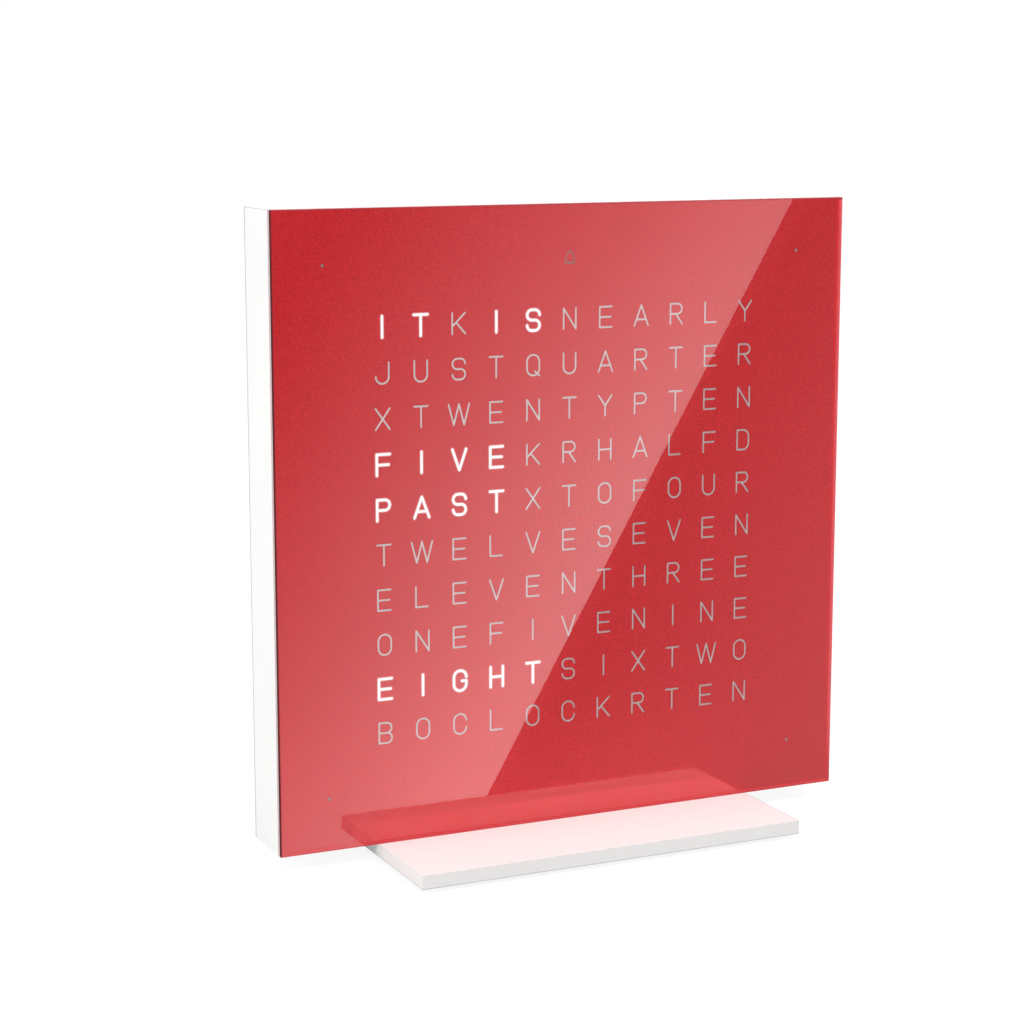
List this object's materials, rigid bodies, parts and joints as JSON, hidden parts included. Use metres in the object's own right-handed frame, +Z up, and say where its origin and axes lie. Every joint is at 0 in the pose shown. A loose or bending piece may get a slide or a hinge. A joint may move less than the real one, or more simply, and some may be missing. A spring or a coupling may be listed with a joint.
{
  "type": "word clock",
  "caption": "Square table clock that tells the time in lit words on a clear-fronted red face, lifted off a bent plate stand, with push buttons on its back.",
  "frame": {"origin": "middle of the whole object's outline at the level of the surface that it stands on, under the stand's pads", "axes": "+X to the right as one faces the letters, +Y from the face to the back, +Z up"},
  "size_m": [0.135, 0.0432, 0.139],
  "materials": {
    "clear_acrylic": "polished clear acrylic",
    "red_print": "opaque red printed coat seen through the plate",
    "diffuser": "pale matt diffuser film",
    "white_housing": "white satin moulded housing",
    "guide_white": "opaque white moulding",
    "white_powder_coat": "white fine-grained powder coat on steel plate",
    "grey_rubber": "grey soft rubber",
    "magnet_nickel": "nickel-plated magnet",
    "plated_steel": "zinc-plated steel",
    "copper_foil": "copper foil",
    "circuit_board": "white solder mask",
    "led_package": "white LED package",
    "chip_black": "moulded epoxy",
    "capacitor_can": "plain can",
    "black_plastic": "black moulded plastic",
    "contact_brass": "plated brass contact",
    "grey_button": "light grey moulded caps"
  },
  "bodies": {
    "stand": {"stand_bracket": "white_powder_coat", "stand_magnets": "magnet_nickel", "stand_pads": "grey_rubber"},
    "clock": {"housing_shell": "white_housing", "light_guide": "guide_white", "housing_magnets": "magnet_nickel", "touch_foil": "copper_foil", "led_board": "circuit_board", "letter_leds": "led_package", "minute_leds": "led_package", "alarm_led": "led_package", "board_screws": "plated_steel", "controller_chip": "chip_black", "driver_chips": "chip_black", "clock_crystal": "plated_steel", "storage_capacitors": "capacitor_can", "voltage_regulator": "chip_black", "chip_resistors": "chip_black", "alarm_sounder": "black_plastic", "power_inlet": "black_plastic", "inlet_pin": "contact_brass", "switch_bases": "black_plastic", "rear_cover": "white_housing", "rear_screws": "plated_steel", "strike_plate": "plated_steel"},
    "front_cover": {"cover_plate": "clear_acrylic", "letter_mask": "red_print", "diffuser_film": "diffuser", "cover_discs": "plated_steel"},
    "hour_key": {"hour_button": "grey_button", "hour_plunger": "black_plastic"},
    "minute_key": {"minute_button": "grey_button", "minute_plunger": "black_plastic"},
    "alarm_key": {"alarm_button": "grey_button", "alarm_plunger": "black_plastic"},
    "brightness_key": {"brightness_button": "grey_button", "brightness_plunger": "black_plastic"}
  },
  "joints": [
    {"name": "clock_lift", "type": "slide", "parent": "stand", "child": "clock", "axis": [0, 0, 1], "range_m": [0, 0.06]},
    {"name": "cover_pull", "type": "slide", "parent": "clock", "child": "front_cover", "axis": [0, -1, 0], "range_m": [0, 0.03]},
    {"name": "hour_press", "type": "slide", "parent": "clock", "child": "hour_key", "axis": [0, -1, 0], "range_m": [0, 0.0004], "stiffness_N_per_m": 200, "springref_m": -0.004},
    {"name": "minute_press", "type": "slide", "parent": "clock", "child": "minute_key", "axis": [0, -1, 0], "range_m": [0, 0.0004], "stiffness_N_per_m": 200, "springref_m": -0.004},
    {"name": "alarm_press", "type": "slide", "parent": "clock", "child": "alarm_key", "axis": [0, -1, 0], "range_m": [0, 0.0004], "stiffness_N_per_m": 200, "springref_m": -0.004},
    {"name": "brightness_press", "type": "slide", "parent": "clock", "child": "brightness_key", "axis": [0, -1, 0], "range_m": [0, 0.0004], "stiffness_N_per_m": 200, "springref_m": -0.004}
  ]
}
